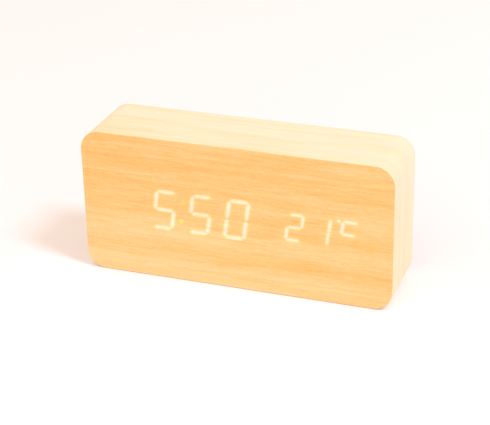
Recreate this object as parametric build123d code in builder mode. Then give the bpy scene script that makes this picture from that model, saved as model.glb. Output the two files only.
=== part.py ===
from build123d import *
import os

# Wood-veneered desk clock with a light display behind the front veneer.
# Millimetres. +Z up, the display faces -Y, +X is to the right seen from the
# front. The origin is on the desk, under the middle of the case.

os.makedirs("parts", exist_ok=True)

# ---------------------------------------------------------------- case
W = 150.0                 # width over the wrapped veneer
H = 70.4                  # height of the veneered block
D = 37.2                  # depth over both face veneers
R = 9.2                   # corner radius seen from the front
FACE_T = 0.6              # front and rear veneer
WRAP_T = 0.5              # veneer wrapped round the four sides
SEAM = 0.2                # butt joint of the wrapped veneer, underneath
PAD_STAND = 0.2           # how far the foot pads stand proud of the veneer
PAD_R = 4.0
PAD_X, PAD_Y = 60.0, 12.0
ZC = PAD_STAND + H / 2    # height of the middle of the block

Y_FRONT = -D / 2          # -18.6
Y_REAR = D / 2            # 18.6
CORE_F = Y_FRONT + FACE_T # -18.0
CORE_R = Y_REAR - FACE_T  # 18.0

# ---------------------------------------------------------------- hollow in the core
WIN_W, WIN_H = 125.0, 28.0        # display window through the front wall
WALL_Y = -9.7                     # inner face of the front wall
CAV_W, CAV_H, CAV_R = 136.0, 56.0, 3.0
POST = 9.0                        # corner posts for the cover screws
LEDGE_Y = 15.6                    # ledge that the back cover sits on
REB_W, REB_H, REB_R = 141.0, 61.0, 4.0
SCREW_X, SCREW_Z = 63.5, 23.5     # cover screws
PCB_SX, PCB_SZ = 64.9, 16.1       # display board screws

# ---------------------------------------------------------------- display
FILM_T = 0.3
REFL_F = CORE_F + FILM_T          # front of the reflector block
REFL_W, REFL_H = 124.4, 27.4
INSERT_T = 1.2
PCB_T = 1.6
PCB_W, PCB_H = 134.0, 37.0
PCB_R = WALL_Y + PCB_T            # rear face of the display board, -8.1
SLANT = 0.15                      # sideways lean of the figures per mm of height
GAP = 0.35                        # from a segment's point to the corner of the figure
# middle of each figure from the middle of the face, half width, half height, stroke
BIG = dict(hw=4.67, hh=9.28, t=1.9, z=0.08)
SMALL = dict(hw=3.35, hh=6.37, t=1.5, z=0.25)
BIG_X = {"hour_tens": -52.0, "hour": -34.2, "minute_tens": -16.45, "minute": 1.33}
SMALL_X = {"temperature_tens": 29.1, "temperature": 41.85, "unit": 54.4}
COLON = [(-24.7, 5.0), (-26.0, -4.5)]
COLON_R = 0.9
DEGREE = (49.9, 6.6)
DEGREE_R = 0.75

# ---------------------------------------------------------------- back cover
COV_W, COV_H, COV_R = 140.4, 60.4, 3.7
COV_Y = 17.6                      # outer face
COV_T = COV_Y - LEDGE_Y
BX, BZ = -24.0, -2.0              # middle of the battery compartment
BOX_L, BOX_H = 49.0, 33.4         # inside length and height
BOX_FLOOR = 4.6
BOX_WALL = 1.2
DOOR_W, DOOR_H, DOOR_T = 53.0, 37.0, 1.3
DOOR_GAP = 0.25
DOOR_REC = 1.5
DOOR_BOT = BZ - DOOR_H / 2
DOOR_TOP = BZ + DOOR_H / 2
HINGE_Y = COV_Y - DOOR_T / 2      # the door turns about its rounded lower edge
HINGE_Z = DOOR_BOT + DOOR_T / 2
TAB_W = 5.0
TAB_DX = 15.0
CELL_R, CELL_L = 5.25, 44.5       # AAA cell with its button
CELL_Y = 10.15
CELL_PITCH = 11.0
PLATE_T = 0.4

# ---------------------------------------------------------------- control board
CB_F, CB_R = 7.4, 8.6             # faces of the control board
CB_X0, CB_X1 = 12.0, 56.0
CB_Z0, CB_Z1 = -21.0, 19.0
KEY_Z = 13.0
KEYS = {"set": 48.0, "up": 33.0, "down": 18.0}
KEY_R = 3.75
KEY_FLANGE_R = 4.7
KEY_TRAVEL = 0.3
STANDOFFS = [(25.5, 13.0), (40.5, 13.0), (37.0, -17.0)]
JACK = (48.0, -13.0)
BUZZ = (26.0, -12.0)
MIC = (38.0, -1.0)
THERM = (52.0, 0.0)
PIN_R = 0.65


def at(y):
    """Sketch plane parallel to the front, at depth y; its normal is -Y."""
    return Plane(origin=(0, y, ZC), x_dir=(1, 0, 0), z_dir=(0, -1, 0))


def along_x(x):
    """Sketch plane across the case, at x; local x is Y and local y is Z."""
    return Plane(origin=(x, 0, ZC), x_dir=(0, 1, 0), z_dir=(1, 0, 0))


def save(part, name):
    part.part.label = name
    export_step(part.part, "parts/" + name + ".step")


def lean(x, z, x0, z0):
    return (x0 + x + SLANT * z, z0 + z)


def segments(x0, hw, hh, t, z):
    """The seven slanted hexagons of one figure, a to g."""
    h = t / 2

    def across(zz):
        a = -hw + GAP
        return [(a, zz), (a + h, zz + h), (-a - h, zz + h), (-a, zz), (-a - h, zz - h), (a + h, zz - h)]

    def upright(xx, z0, z1):
        a, b = z0 + GAP, z1 - GAP
        return [(xx, a), (xx + h, a + h), (xx + h, b - h), (xx, b), (xx - h, b - h), (xx - h, a + h)]

    shapes = {
        "a": across(hh),
        "b": upright(hw, 0, hh),
        "c": upright(hw, -hh, 0),
        "d": across(-hh),
        "e": upright(-hw, -hh, 0),
        "f": upright(-hw, 0, hh),
        "g": across(0),
    }
    return {k: [lean(px, pz, x0, z) for px, pz in v] for k, v in shapes.items()}


FIGURES = {}
for key, fx in BIG_X.items():
    FIGURES[key] = segments(fx, **BIG)
for key, fx in SMALL_X.items():
    FIGURES[key] = segments(fx, **SMALL)


def centre_of(pts):
    return (sum(p[0] for p in pts) / len(pts), sum(p[1] for p in pts) / len(pts))


# ================================================================ case
with BuildPart() as case_core:
    with BuildSketch(at(CORE_R)):
        RectangleRounded(W - 2 * WRAP_T, H - 2 * WRAP_T, R - WRAP_T)
    extrude(amount=CORE_R - CORE_F)
    # rebate for the back cover
    with BuildSketch(at(CORE_R)):
        RectangleRounded(REB_W, REB_H, REB_R)
    extrude(amount=CORE_R - LEDGE_Y, mode=Mode.SUBTRACT)
    # hollow, with a post left in each corner
    with BuildSketch(at(LEDGE_Y)):
        RectangleRounded(CAV_W, CAV_H, CAV_R)
        with GridLocations(CAV_W - POST, CAV_H - POST, 2, 2):
            RectangleRounded(POST, POST, 1.5, mode=Mode.SUBTRACT)
        with GridLocations(CAV_W - POST / 2, CAV_H - POST, 2, 2):
            Rectangle(POST / 2, POST, mode=Mode.SUBTRACT)
        with GridLocations(CAV_W - POST, CAV_H - POST / 2, 2, 2):
            Rectangle(POST, POST / 2, mode=Mode.SUBTRACT)
    extrude(amount=LEDGE_Y - WALL_Y, mode=Mode.SUBTRACT)
    # display window
    with BuildSketch(at(WALL_Y)):
        RectangleRounded(WIN_W, WIN_H, 1.5)
    extrude(amount=WALL_Y - CORE_F, mode=Mode.SUBTRACT)
    # pilot holes for the cover screws and the display board screws
    with BuildSketch(at(LEDGE_Y)):
        with GridLocations(2 * SCREW_X, 2 * SCREW_Z, 2, 2):
            Circle(1.33)
    extrude(amount=11.0, mode=Mode.SUBTRACT)
    with BuildSketch(at(WALL_Y)):
        with GridLocations(2 * PCB_SX, 2 * PCB_SZ, 2, 2):
            Circle(0.98)
    extrude(amount=6.0, mode=Mode.SUBTRACT)
save(case_core, "case_core")

with BuildPart() as front_veneer:
    with BuildSketch(at(CORE_F)):
        RectangleRounded(W, H, R)
    extrude(amount=FACE_T)
save(front_veneer, "front_veneer")

with BuildPart() as wrap_veneer:
    with BuildSketch(at(CORE_R)):
        RectangleRounded(W, H, R)
        RectangleRounded(W - 2 * WRAP_T, H - 2 * WRAP_T, R - WRAP_T, mode=Mode.SUBTRACT)
        with Locations((0, -H / 2)):
            Rectangle(SEAM, 3.0, mode=Mode.SUBTRACT)
    extrude(amount=CORE_R - CORE_F)
    # seats for the foot pads, through the veneer underneath
    with BuildSketch(Plane.XY):
        with GridLocations(2 * PAD_X, 2 * PAD_Y, 2, 2):
            Circle(PAD_R + 0.1)
    extrude(amount=PAD_STAND + WRAP_T, mode=Mode.SUBTRACT)
save(wrap_veneer, "wrap_veneer")

with BuildPart() as rear_veneer:
    with BuildSketch(at(Y_REAR)):
        RectangleRounded(W, H, R)
        RectangleRounded(REB_W, REB_H, REB_R, mode=Mode.SUBTRACT)
    extrude(amount=FACE_T)
save(rear_veneer, "rear_veneer")

with BuildPart() as foot_pads:
    with BuildSketch(Plane.XY):
        with GridLocations(2 * PAD_X, 2 * PAD_Y, 2, 2):
            Circle(PAD_R)
    extrude(amount=PAD_STAND + WRAP_T)
save(foot_pads, "foot_pads")

# ================================================================ display
with BuildPart() as diffuser_film:
    with BuildSketch(at(REFL_F)):
        RectangleRounded(REFL_W, REFL_H, 1.2)
    extrude(amount=FILM_T)
save(diffuser_film, "diffuser_film")

PEGS = [(-59.0, 11.4), (59.5, 11.4), (-59.0, -11.4), (59.5, -11.4)]
with BuildPart() as segment_reflector:
    with BuildSketch(at(WALL_Y)):
        RectangleRounded(REFL_W, REFL_H, 1.2)
    extrude(amount=WALL_Y - REFL_F)
    # one slanted light chamber per segment, and round ones for the dots
    with BuildSketch(at(WALL_Y)):
        for fig in FIGURES.values():
            for pts in fig.values():
                with BuildLine():
                    Polyline(*pts, close=True)
                make_face()
        with Locations(*COLON):
            Circle(COLON_R)
        with Locations(DEGREE):
            Circle(DEGREE_R)
    extrude(amount=WALL_Y - REFL_F, mode=Mode.SUBTRACT)
    # locating pegs through the display board
    with BuildSketch(at(PCB_R + 0.4)):
        with Locations(*PEGS):
            Circle(1.0)
    extrude(amount=PCB_T + 0.4)
save(segment_reflector, "segment_reflector")

# translucent segment windows, one node per figure
for key, fig in FIGURES.items():
    with BuildPart() as windows:
        with BuildSketch(at(REFL_F + INSERT_T)):
            for pts in fig.values():
                with BuildLine():
                    Polyline(*pts, close=True)
                make_face()
        extrude(amount=INSERT_T)
    save(windows, key + "_segments")

with BuildPart() as colon_dots:
    with BuildSketch(at(REFL_F + INSERT_T)):
        with Locations(*COLON):
            Circle(COLON_R)
    extrude(amount=INSERT_T)
save(colon_dots, "colon_dots")

with BuildPart() as degree_dot:
    with BuildSketch(at(REFL_F + INSERT_T)):
        with Locations(DEGREE):
            Circle(DEGREE_R)
    extrude(amount=INSERT_T)
save(degree_dot, "degree_dot")

# one chip lamp behind each window
LAMPS = [centre_of(p) for fig in FIGURES.values() for p in fig.values()] + COLON + [DEGREE]
with BuildPart() as led_chips:
    with BuildSketch(at(WALL_Y)):
        with Locations(*LAMPS):
            Rectangle(0.9, 0.9)
    extrude(amount=0.6)
save(led_chips, "led_chips")

with BuildPart() as display_pcb:
    with BuildSketch(at(PCB_R)):
        RectangleRounded(PCB_W, PCB_H, 1.0)
        with GridLocations(2 * PCB_SX, 2 * PCB_SZ, 2, 2):
            Circle(1.2, mode=Mode.SUBTRACT)
        with Locations(*PEGS):
            Circle(1.1, mode=Mode.SUBTRACT)
    extrude(amount=PCB_T)
save(display_pcb, "display_pcb")


def pan_screw(x, z, y_seat, head_r, head_h, shank_r, length, way):
    """Pan-head screw turned about its own axis; way is the side the head is on (+1 or -1)."""
    with BuildPart(mode=Mode.PRIVATE) as screw:
        with BuildSketch(Plane.XY.offset(ZC + z)):
            with BuildLine():
                Polyline(
                    (x, y_seat - way * length),
                    (x + shank_r * 0.4, y_seat - way * length),
                    (x + shank_r, y_seat - way * (length - 1.2)),
                    (x + shank_r, y_seat),
                    (x + head_r, y_seat),
                    (x + head_r, y_seat + way * head_h * 0.55),
                    (x + head_r * 0.62, y_seat + way * head_h),
                    (x, y_seat + way * head_h),
                    close=True,
                )
            make_face()
        revolve(axis=Axis((x, 0, ZC + z), (0, 1, 0)))
        # cross recess
        with BuildSketch(at(y_seat + (way * head_h if way > 0 else -head_h * 0.35))):
            with Locations((x, z)):
                Rectangle(head_r * 1.1, head_r * 0.26)
                Rectangle(head_r * 0.26, head_r * 1.1)
        extrude(amount=head_h * 0.65, mode=Mode.SUBTRACT)
    return screw.part


with BuildPart() as pcb_screws:
    for sx in (-PCB_SX, PCB_SX):
        for sz in (-PCB_SZ, PCB_SZ):
            add(pan_screw(sx, sz, PCB_R, 1.9, 1.3, 0.95, 7.2, 1))
save(pcb_screws, "pcb_screws")


def chip(x, z, y, lx, lz, h, pins, pitch, reach, four_sides=False):
    """Flat chip package on the rear face of a board, with its row of legs."""
    with BuildPart(mode=Mode.PRIVATE) as package:
        with BuildSketch(at(y + h)):
            with Locations((x, z)):
                Rectangle(lx, lz)
        extrude(amount=h - 0.1)
        with BuildSketch(at(y + 0.25)):
            with Locations((x, z)):
                with GridLocations(pitch, lz + reach, pins, 2):
                    Rectangle(pitch * 0.45, reach + 0.2)
                if four_sides:
                    with GridLocations(lx + reach, pitch, 2, pins):
                        Rectangle(reach + 0.2, pitch * 0.45)
        extrude(amount=0.25)
    return package.part


with BuildPart() as microcontroller:
    add(chip(-42.0, 0.0, PCB_R, 7.0, 7.0, 1.5, 8, 0.8, 1.0, True))
save(microcontroller, "microcontroller")

with BuildPart() as led_driver:
    add(chip(-12.0, -5.0, PCB_R, 17.8, 7.5, 2.3, 14, 1.27, 1.4))
save(led_driver, "led_driver")

with BuildPart() as crystal:
    with BuildSketch(at(PCB_R + 3.5)):
        with Locations((-27.0, 8.0)):
            SlotOverall(10.2, 3.8)
    extrude(amount=3.1)
    with BuildSketch(at(PCB_R + 0.4)):
        with Locations((-27.0, 8.0)):
            SlotOverall(11.0, 4.6)
    extrude(amount=0.4)
save(crystal, "crystal")

with BuildPart() as capacitors:
    for cx, cz, cr, ch in ((16.0, 11.5, 3.15, 7.0), (25.0, 11.5, 3.15, 7.0), (-4.0, 11.0, 2.5, 5.4)):
        with BuildSketch(Plane.XY.offset(ZC + cz)):
            with BuildLine():
                Polyline(
                    (cx, PCB_R),
                    (cx + cr, PCB_R),
                    (cx + cr, PCB_R + 0.9),
                    (cx + cr - 0.25, PCB_R + 1.2),
                    (cx + cr, PCB_R + 1.5),
                    (cx + cr, PCB_R + ch),
                    (cx + cr - 0.5, PCB_R + ch),
                    (cx + cr - 0.7, PCB_R + ch - 0.15),
                    (cx, PCB_R + ch - 0.15),
                    close=True,
                )
            make_face()
        revolve(axis=Axis((cx, 0, ZC + cz), (0, 1, 0)))
save(capacitors, "capacitors")

with BuildPart() as chip_resistors:
    with BuildSketch(at(PCB_R + 0.5)):
        with Locations((-12.0, -14.5)):
            with GridLocations(3.2, 1.0, 8, 1):
                Rectangle(1.25, 2.0)
        with Locations((-50.5, 9.0)):
            with GridLocations(1.0, 3.0, 1, 3):
                Rectangle(2.0, 1.25)
    extrude(amount=0.5)
save(chip_resistors, "chip_resistors")

# side-entry headers with their plugs: battery leads, and the cable to the control board
with BuildPart() as battery_header:
    with BuildSketch(at(PCB_R + 5.0)):
        with Locations((9.0, 0.0)):
            Rectangle(6.4, 6.0)
    extrude(amount=5.0)
    with BuildSketch(at(PCB_R + 5.0)):
        with Locations((9.0, 1.6)):
            Rectangle(3.6, 1.6)
    extrude(amount=0.8, mode=Mode.SUBTRACT)
save(battery_header, "battery_header")

CABLE_N, CABLE_P = 5, 1.6
with BuildPart() as display_header:
    with BuildSketch(at(PCB_R + 5.0)):
        with Locations((35.0, 0.0)):
            Rectangle(6.0, 10.4)
    extrude(amount=5.0)
save(display_header, "display_header")

with BuildPart() as control_header:
    with BuildSketch(at(CB_F)):
        with Locations((35.0, 0.0)):
            Rectangle(6.0, 10.4)
    extrude(amount=5.0)
save(control_header, "control_header")

with BuildPart() as control_cable:
    for n in range(CABLE_N):
        wz = ZC + (n - (CABLE_N - 1) / 2) * CABLE_P
        y0, y1 = PCB_R + 2.6, CB_F - 2.6
        with BuildLine() as wire:
            FilletPolyline(
                (38.0, y0, wz), (51.0, y0, wz), (51.0, y1, wz), (38.0, y1, wz), radius=[4.8, 4.8]
            )
        with BuildSketch(Plane(origin=(38.0, y0, wz), x_dir=(0, 1, 0), z_dir=(1, 0, 0))):
            Circle(0.5)
        sweep(path=wire.wires()[0])
save(control_cable, "control_cable")

# ================================================================ control board behind the keys
with BuildPart() as control_pcb:
    with BuildSketch(at(CB_R)):
        with Locations(((CB_X0 + CB_X1) / 2, (CB_Z0 + CB_Z1) / 2)):
            RectangleRounded(CB_X1 - CB_X0, CB_Z1 - CB_Z0, 1.0)
        with Locations(*STANDOFFS):
            Circle(1.15, mode=Mode.SUBTRACT)
    extrude(amount=CB_R - CB_F)
save(control_pcb, "control_pcb")

with BuildPart() as control_pcb_screws:
    for sx, sz in STANDOFFS:
        add(pan_screw(sx, sz, CB_F, 2.1, 1.3, 0.95, 6.6, -1))
save(control_pcb_screws, "control_pcb_screws")

SW_TOP = CB_R + 3.5
with BuildPart() as switch_bodies:
    for kx in KEYS.values():
        with BuildSketch(at(SW_TOP)):
            with Locations((kx, KEY_Z)):
                RectangleRounded(6.0, 6.0, 0.5)
        extrude(amount=3.5)
        with BuildSketch(at(SW_TOP)):
            with Locations((kx, KEY_Z)):
                Circle(1.8)
        extrude(amount=1.3, mode=Mode.SUBTRACT)
        # rivets in the metal lid
        with BuildSketch(at(SW_TOP + 0.15)):
            with Locations((kx, KEY_Z)):
                with GridLocations(4.4, 4.4, 2, 2):
                    Circle(0.45)
        extrude(amount=0.15)
save(switch_bodies, "switch_bodies")

KEY_BACK = 14.35
FLANGE_T = 1.0
for key, kx in KEYS.items():
    with BuildPart() as plunger:
        with BuildSketch(at(KEY_BACK)):
            with Locations((kx, KEY_Z)):
                Circle(1.72)
        extrude(amount=KEY_BACK - (SW_TOP - 0.85))
    save(plunger, key + "_plunger")

    with BuildPart() as button:
        with BuildSketch(at(KEY_BACK + FLANGE_T)):
            with Locations((kx, KEY_Z)):
                Circle(KEY_FLANGE_R)
        extrude(amount=FLANGE_T)
        with BuildSketch(at(18.25)):
            with Locations((kx, KEY_Z)):
                Circle(KEY_R)
        extrude(amount=18.25 - KEY_BACK - FLANGE_T)
        fillet(button.edges().filter_by(GeomType.CIRCLE).group_by(Axis.Y)[-1], 0.5)
        # raised mark: a ring, an upward and a downward triangle
        with BuildSketch(at(18.5)):
            with Locations((kx, KEY_Z)):
                if key == "set":
                    Circle(1.3)
                    Circle(0.75, mode=Mode.SUBTRACT)
                else:
                    RegularPolygon(1.6, 3, rotation=90 if key == "up" else -90)
        extrude(amount=0.25)
    save(button, key + "_button")

# power socket: round nose through the cover, hollow, with a centre pin
JX, JZ = JACK
JACK_END = 17.3
JACK_FLOOR = 9.4
with BuildPart() as dc_jack:
    with BuildSketch(at(15.2)):
        with Locations((JX, JZ)):
            RectangleRounded(8.6, 8.6, 0.6)
    extrude(amount=15.2 - CB_R)
    with BuildSketch(at(JACK_END)):
        with Locations((JX, JZ)):
            Circle(3.1)
    extrude(amount=JACK_END - 15.2)
    with BuildSketch(at(JACK_END)):
        with Locations((JX, JZ)):
            Circle(1.85)
    extrude(amount=JACK_END - JACK_FLOOR, mode=Mode.SUBTRACT)
save(dc_jack, "dc_jack")

with BuildPart() as dc_jack_pin:
    with BuildSketch(at(16.8)):
        with Locations((JX, JZ)):
            Circle(PIN_R)
    extrude(amount=16.8 - JACK_FLOOR)
save(dc_jack_pin, "dc_jack_pin")

with BuildPart() as buzzer:
    with BuildSketch(at(CB_R + 5.5)):
        with Locations(BUZZ):
            Circle(4.5)
    extrude(amount=5.5)
    with BuildSketch(at(CB_R + 5.5)):
        with Locations(BUZZ):
            Circle(1.2)
    extrude(amount=2.0, mode=Mode.SUBTRACT)
save(buzzer, "buzzer")

with BuildPart() as microphone:
    with BuildSketch(at(CB_R + 2.7)):
        with Locations(MIC):
            Circle(3.0)
    extrude(amount=2.7)
    with BuildSketch(at(CB_R + 2.7)):
        with Locations(MIC):
            Circle(1.1)
    extrude(amount=0.3, mode=Mode.SUBTRACT)
save(microphone, "microphone")

with BuildPart() as thermistor:
    # dipped bead on two legs, close to the vent slots
    with BuildSketch(at(CB_R + 5.4)):
        with Locations(THERM):
            SlotOverall(3.4, 2.4)
    extrude(amount=2.2)
    with BuildSketch(at(CB_R + 3.4)):
        with Locations(THERM):
            with GridLocations(1.6, 1.0, 2, 1):
                Circle(0.25)
    extrude(amount=3.4)
save(thermistor, "thermistor")

# ================================================================ back cover
with BuildPart() as back_cover:
    with BuildSketch(at(COV_Y)):
        RectangleRounded(COV_W, COV_H, COV_R)
    extrude(amount=COV_T)
    # battery compartment behind the plate
    with BuildSketch(at(LEDGE_Y)):
        with Locations((BX, BZ)):
            Rectangle(BOX_L + 2 * BOX_WALL, BOX_H + 2 * BOX_WALL)
    extrude(amount=LEDGE_Y - BOX_FLOOR + BOX_WALL)
    with BuildSketch(at(COV_Y)):
        with Locations((BX, BZ)):
            RectangleRounded(DOOR_W + 2 * DOOR_GAP, DOOR_H + 2 * DOOR_GAP, 0.4)
    extrude(amount=DOOR_REC, mode=Mode.SUBTRACT)
    with BuildSketch(at(COV_Y)):
        with Locations((BX, BZ)):
            Rectangle(BOX_L, BOX_H)
    extrude(amount=COV_Y - BOX_FLOOR, mode=Mode.SUBTRACT)
    # low ribs that part the cells
    with BuildSketch(at(BOX_FLOOR + 1.6)):
        with Locations((BX, BZ)):
            with GridLocations(30.0, CELL_PITCH, 2, 2):
                Rectangle(6.0, 0.8)
    extrude(amount=1.6)
    # openings in the lower wall for the door's tabs
    with BuildSketch(at(16.1)):
        with Locations((BX, (DOOR_BOT - DOOR_GAP + BZ - BOX_H / 2 + 0.2) / 2)):
            with GridLocations(2 * TAB_DX, 1.0, 2, 1):
                Rectangle(TAB_W + 0.6, (BZ - BOX_H / 2 + 0.2) - (DOOR_BOT - DOOR_GAP))
    extrude(amount=3.3, mode=Mode.SUBTRACT)
    # solder tails of the end contacts leave through the end walls
    with BuildSketch(along_x(BX + BOX_L / 2 + 1.6)):
        with Locations((6.0, BZ + CELL_PITCH)):
            Rectangle(2.4, 0.9)
    extrude(amount=-3.0, mode=Mode.SUBTRACT)
    with BuildSketch(along_x(BX - BOX_L / 2 - 1.6)):
        with Locations((6.0, BZ - CELL_PITCH)):
            Rectangle(2.4, 0.9)
    extrude(amount=3.0, mode=Mode.SUBTRACT)
    # standoffs for the control board
    with BuildSketch(at(LEDGE_Y)):
        with Locations(*STANDOFFS):
            Circle(2.5)
    extrude(amount=LEDGE_Y - CB_R)
    with BuildSketch(at(14.6)):
        with Locations(*STANDOFFS):
            Circle(0.98)
    extrude(amount=14.6 - CB_R, mode=Mode.SUBTRACT)
    # key holes, socket hole, sound slots, microphone hole and vent slots
    with BuildSketch(at(COV_Y)):
        for kx in KEYS.values():
            with Locations((kx, KEY_Z)):
                Circle(KEY_R + 0.25)
        with Locations(JACK):
            Circle(3.4)
        with Locations(BUZZ):
            with GridLocations(1.0, 2.4, 1, 5):
                SlotOverall(10.0, 1.1)
        with Locations(MIC):
            Circle(0.9)
        with Locations(THERM):
            with GridLocations(1.0, 2.2, 1, 3):
                SlotOverall(6.0, 1.0)
    extrude(amount=COV_T, mode=Mode.SUBTRACT)
    # shallow dish round the socket and finger dish above the battery door
    with BuildSketch(at(COV_Y)):
        with Locations(JACK):
            Circle(5.2)
    extrude(amount=0.5, mode=Mode.SUBTRACT)
    with Locations((BX, COV_Y + 5.0, ZC + DOOR_TOP + 0.4)):
        Sphere(6.3, mode=Mode.SUBTRACT)
    # countersunk screw holes
    for sx in (-SCREW_X, SCREW_X):
        for sz in (-SCREW_Z, SCREW_Z):
            with BuildSketch(Plane.XY.offset(ZC + sz)):
                with BuildLine():
                    Polyline(
                        (sx, LEDGE_Y - 0.5),
                        (sx + 1.5, LEDGE_Y - 0.5),
                        (sx + 1.5, COV_Y - 1.35),
                        (sx + 2.85, COV_Y),
                        (sx + 2.85, COV_Y + 0.5),
                        (sx, COV_Y + 0.5),
                        close=True,
                    )
                make_face()
            revolve(axis=Axis((sx, 0, ZC + sz), (0, 1, 0)), mode=Mode.SUBTRACT)
    # thin edge break round the plate
    chamfer(back_cover.faces().filter_by(Axis.Y).sort_by(Axis.Y)[-1].outer_wire().edges(), 0.3)
save(back_cover, "back_cover")

with BuildPart() as cover_screws:
    for sx in (-SCREW_X, SCREW_X):
        for sz in (-SCREW_Z, SCREW_Z):
            with BuildSketch(Plane.XY.offset(ZC + sz)):
                with BuildLine():
                    Polyline(
                        (sx, COV_Y - 12.0),
                        (sx + 0.4, COV_Y - 12.0),
                        (sx + 1.3, COV_Y - 10.4),
                        (sx + 1.3, COV_Y - 1.4),
                        (sx + 2.55, COV_Y - 0.15),
                        (sx, COV_Y - 0.15),
                        close=True,
                    )
                make_face()
            revolve(axis=Axis((sx, 0, ZC + sz), (0, 1, 0)))
            with BuildSketch(at(COV_Y - 0.15)):
                with Locations((sx, sz)):
                    Rectangle(2.8, 0.6)
                    Rectangle(0.6, 2.8)
            extrude(amount=1.1, mode=Mode.SUBTRACT)
save(cover_screws, "cover_screws")

# ================================================================ battery door
with BuildPart() as battery_door:
    # plate whose lower edge is a full round about the hinge axis
    with BuildSketch(along_x(BX + DOOR_W / 2)):
        with Locations((HINGE_Y, (HINGE_Z + DOOR_TOP) / 2)):
            Rectangle(DOOR_T, DOOR_TOP - HINGE_Z)
        with Locations((HINGE_Y, HINGE_Z)):
            Circle(DOOR_T / 2)
    extrude(amount=-DOOR_W)
    with BuildSketch(at(COV_Y + 1.0)):
        with Locations((BX, BZ)):
            RectangleRounded(DOOR_W, DOOR_H, 0.6)
        # slits beside the spring tongue
        with Locations((BX, DOOR_TOP - 3.5)):
            with GridLocations(10.8, 1.0, 2, 1):
                Rectangle(0.8, 8.0, mode=Mode.SUBTRACT)
    extrude(amount=DOOR_T + 2.0, mode=Mode.INTERSECT)
    # grip ridges on the tongue
    with BuildSketch(at(COV_Y + 0.35)):
        with Locations((BX, DOOR_TOP - 2.4)):
            with GridLocations(1.0, 1.2, 1, 3):
                SlotOverall(7.0, 0.6)
    extrude(amount=0.35)
    # two hooked tabs at the bottom: arms through the lower wall, then down behind the plate
    for tx in (BX - TAB_DX, BX + TAB_DX):
        with BuildSketch(along_x(tx + TAB_W / 2)):
            with BuildLine():
                Polyline(
                    (HINGE_Y, DOOR_BOT),
                    (HINGE_Y, DOOR_BOT + 1.2),
                    (14.0, DOOR_BOT + 1.2),
                    (14.0, DOOR_BOT - 1.8),
                    (15.2, DOOR_BOT - 1.8),
                    (15.2, DOOR_BOT),
                    close=True,
                )
            make_face()
        extrude(amount=-TAB_W)
save(battery_door, "battery_door")

# ================================================================ batteries and their contacts
X_L, X_R = BX - BOX_L / 2, BX + BOX_L / 2        # end walls of the compartment
CELLS = [(BZ + CELL_PITCH, 1), (BZ, -1), (BZ - CELL_PITCH, 1)]   # height, side of the button
with BuildPart() as aaa_cells:
    for cz, way in CELLS:
        x_plus = X_R - PLATE_T if way > 0 else X_L + PLATE_T
        with BuildSketch(Plane.XY.offset(ZC + cz)):
            with BuildLine():
                Polyline(
                    (x_plus, CELL_Y),
                    (x_plus, CELL_Y + 1.9),
                    (x_plus - way * 0.9, CELL_Y + 1.9),
                    (x_plus - way * 0.9, CELL_Y + CELL_R - 0.5),
                    (x_plus - way * 1.3, CELL_Y + CELL_R),
                    (x_plus - way * (CELL_L - 0.4), CELL_Y + CELL_R),
                    (x_plus - way * CELL_L, CELL_Y + CELL_R - 0.4),
                    (x_plus - way * CELL_L, CELL_Y),
                    close=True,
                )
            make_face()
        revolve(axis=Axis((0, CELL_Y, ZC + cz), (1, 0, 0)))
save(aaa_cells, "aaa_cells")

SPRING_L = BOX_L - 2 * PLATE_T - CELL_L
with BuildPart() as battery_springs:
    for cz, way in CELLS:
        x0 = X_L + PLATE_T if way > 0 else X_R - PLATE_T
        start = (x0 + way * 0.3, CELL_Y, ZC + cz)
        with BuildLine() as coil:
            Helix(pitch=0.92, height=SPRING_L - 0.6, radius=2.6, center=start, direction=(way, 0, 0))
        with BuildSketch(Plane(origin=coil.line @ 0, z_dir=coil.line % 0)):
            Circle(0.25)
        sweep(path=coil.line, is_frenet=True)
save(battery_springs, "battery_springs")

with BuildPart() as battery_contacts:
    # right end: single positive plate at the top, link plate over the middle and bottom cells
    with BuildSketch(along_x(X_R)):
        with Locations((CELL_Y, BZ + CELL_PITCH)):
            Rectangle(8.4, 8.8)
        with Locations((CELL_Y, BZ - CELL_PITCH / 2)):
            Rectangle(8.4, 8.8 + CELL_PITCH)
    extrude(amount=-PLATE_T)
    with BuildSketch(along_x(X_R + 3.0)):
        with Locations((6.0, BZ + CELL_PITCH)):
            Rectangle(1.9, 0.4)
    extrude(amount=-3.2)
    # left end: link plate over the top and middle cells, single negative plate at the bottom
    with BuildSketch(along_x(X_L)):
        with Locations((CELL_Y, BZ - CELL_PITCH)):
            Rectangle(8.4, 8.8)
        with Locations((CELL_Y, BZ + CELL_PITCH / 2)):
            Rectangle(8.4, 8.8 + CELL_PITCH)
    extrude(amount=PLATE_T)
    with BuildSketch(along_x(X_L - 3.0)):
        with Locations((6.0, BZ - CELL_PITCH)):
            Rectangle(1.9, 0.4)
    extrude(amount=3.2)
save(battery_contacts, "battery_contacts")

LEAD_R = 0.6
HEAD_Y = PCB_R + 2.5
with BuildPart() as battery_lead_red:
    with BuildLine() as red:
        FilletPolyline(
            (7.8, HEAD_Y, ZC - 3.0),
            (7.8, HEAD_Y, ZC - 8.5),
            (7.8, 6.0, ZC - 8.5),
            (7.8, 6.0, ZC + BZ + CELL_PITCH),
            (X_R + 3.0, 6.0, ZC + BZ + CELL_PITCH),
            radius=[3.0, 3.0, 2.4],
        )
    with BuildSketch(Plane(origin=(7.8, HEAD_Y, ZC - 3.0), x_dir=(1, 0, 0), z_dir=(0, 0, -1))):
        Circle(LEAD_R)
    sweep(path=red.wires()[0])
save(battery_lead_red, "battery_lead_red")

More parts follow.
